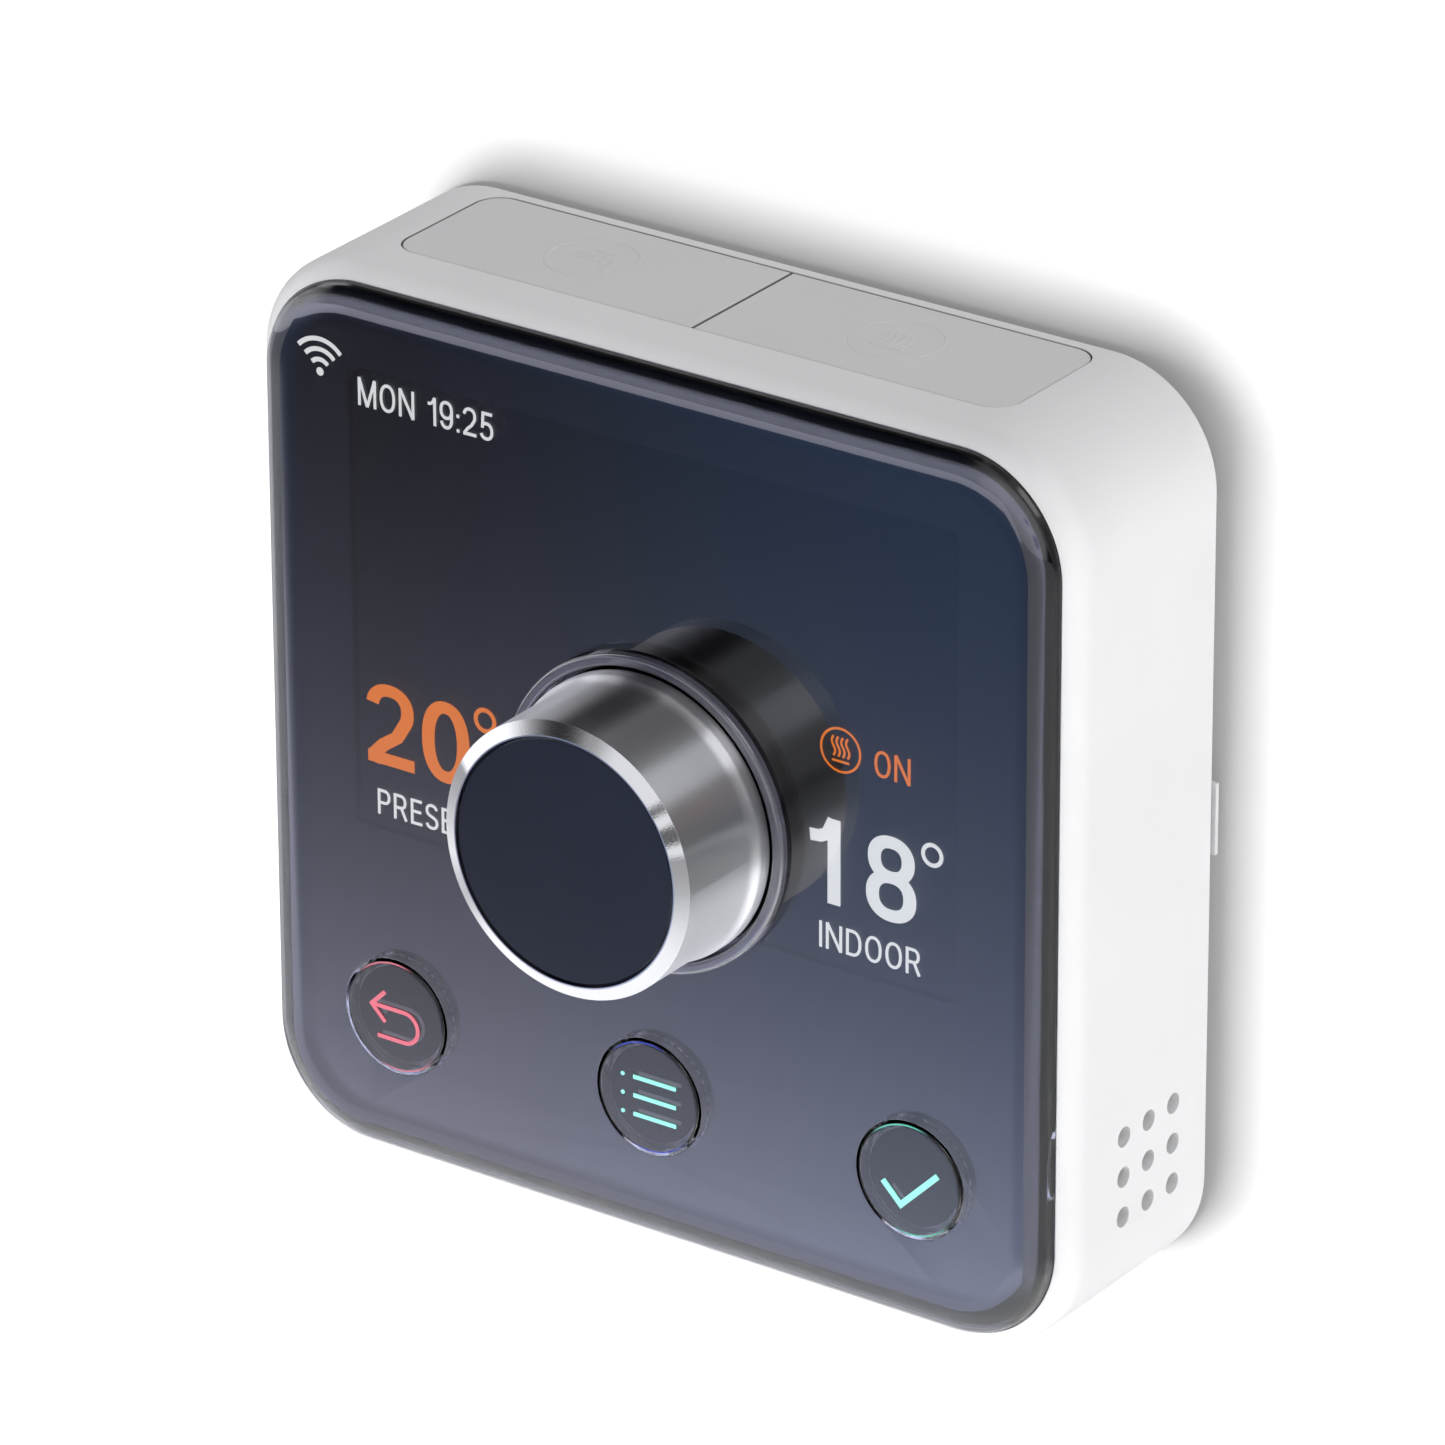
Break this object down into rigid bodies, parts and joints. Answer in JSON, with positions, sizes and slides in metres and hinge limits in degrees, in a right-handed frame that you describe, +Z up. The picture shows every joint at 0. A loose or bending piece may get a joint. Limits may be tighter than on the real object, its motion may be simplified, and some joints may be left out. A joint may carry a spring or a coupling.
{
  "type": "wall thermostat",
  "caption": "Square wall thermostat with a smoked lens, a dial that turns and presses, clear round buttons, top buttons and a hook-on wall plate.",
  "frame": {"origin": "middle of the wall plate's back face, in the plane of the wall", "axes": "+X to the right seen from the front, +Y into the wall, +Z up"},
  "size_m": [0.0986, 0.0413, 0.098],
  "materials": {
    "casing_white": "satin moulded",
    "button_white": "satin moulded",
    "plate_white": "satin moulded",
    "lens_smoked": "polished smoked",
    "mask_black": "printed film",
    "gasket_black": "foam tape",
    "clear_plastic": "polished clear",
    "insert_dark": "polished dark",
    "picture_red": "lit print",
    "picture_aqua": "lit print",
    "knob_metal": "bead blasted with polished chamfer",
    "cap_dark": "polished dark",
    "steel": "plain",
    "nickel_brass": "plated",
    "board_green": "solder mask",
    "chip_black": "moulded",
    "display_glass": "polished",
    "light_white": "diffuser",
    "frame_black": "moulded",
    "ribbon_tan": "film",
    "cell_case": "shrink sleeve",
    "lamp_clear": "clear moulded",
    "hub_grey": "moulded"
  },
  "bodies": {
    "wall_bracket": {"wall_plate": "plate_white"},
    "unit": {"main_casing": "casing_white", "rear_cover": "plate_white", "battery_1": "cell_case", "battery_2": "cell_case", "battery_3": "cell_case", "battery_4": "cell_case", "battery_springs": "steel", "battery_plates": "steel", "main_circuit_board": "board_green", "processor_chip": "chip_black", "radio_module": "steel", "button_lamps": "lamp_clear", "display_contact_strip": "hub_grey", "display_backlight": "light_white", "display_panel": "display_glass", "display_frame": "frame_black", "screen_mask": "mask_black", "lens_gasket": "gasket_black", "front_lens": "lens_smoked", "encoder_body": "frame_black", "encoder_bush": "nickel_brass", "encoder_washer": "steel", "encoder_nut": "nickel_brass", "dial_collar": "clear_plastic", "top_button_board": "board_green", "top_board_cable": "ribbon_tan", "sensor_board": "board_green", "temperature_sensor": "frame_black", "sensor_cable": "ribbon_tan", "casing_screws": "steel", "board_screws": "steel", "top_board_screws": "steel", "back_switch": "chip_black", "menu_switch": "chip_black", "confirm_switch": "chip_black", "hot_water_switch": "chip_black", "heating_switch": "chip_black"},
    "dial_plunger": {"encoder_plunger": "hub_grey"},
    "dial": {"dial_shaft": "steel", "dial_hub": "hub_grey", "dial_knob": "knob_metal", "dial_cap": "cap_dark"},
    "back_key": {"back_button": "clear_plastic", "back_picture": "picture_red", "back_insert": "insert_dark", "back_switch_plunger": "hub_grey"},
    "menu_key": {"menu_button": "clear_plastic", "menu_picture": "picture_aqua", "menu_insert": "insert_dark", "menu_switch_plunger": "hub_grey"},
    "confirm_key": {"confirm_button": "clear_plastic", "confirm_picture": "picture_aqua", "confirm_insert": "insert_dark", "confirm_switch_plunger": "hub_grey"},
    "hot_water_key": {"hot_water_button": "button_white", "hot_water_switch_plunger": "hub_grey"},
    "heating_key": {"heating_button": "button_white", "heating_switch_plunger": "hub_grey"}
  },
  "joints": [
    {"name": "unit_lift", "type": "slide", "parent": "wall_bracket", "child": "unit", "axis": [0, 0, 1], "range_m": [0, 0.0046]},
    {"name": "dial_press", "type": "slide", "parent": "unit", "child": "dial_plunger", "axis": [0, 1, 0], "range_m": [0, 0.0005], "stiffness_N_per_m": 1500, "springref_m": -0.0005},
    {"name": "dial_turn", "type": "hinge", "parent": "dial_plunger", "child": "dial", "pos_m": [0, -0.03, 0], "axis": [0, 1, 0], "continuous": true},
    {"name": "back_press", "type": "slide", "parent": "unit", "child": "back_key", "axis": [0, 1, 0], "range_m": [0, 0.0004], "stiffness_N_per_m": 2000, "springref_m": -0.0005},
    {"name": "menu_press", "type": "slide", "parent": "unit", "child": "menu_key", "axis": [0, 1, 0], "range_m": [0, 0.0004], "stiffness_N_per_m": 2000, "springref_m": -0.0005},
    {"name": "confirm_press", "type": "slide", "parent": "unit", "child": "confirm_key", "axis": [0, 1, 0], "range_m": [0, 0.0004], "stiffness_N_per_m": 2000, "springref_m": -0.0005},
    {"name": "hot_water_press", "type": "slide", "parent": "unit", "child": "hot_water_key", "axis": [0, 0, -1], "range_m": [0, 0.0005], "stiffness_N_per_m": 2000, "springref_m": -0.0005},
    {"name": "heating_press", "type": "slide", "parent": "unit", "child": "heating_key", "axis": [0, 0, -1], "range_m": [0, 0.0005], "stiffness_N_per_m": 2000, "springref_m": -0.0005}
  ]
}
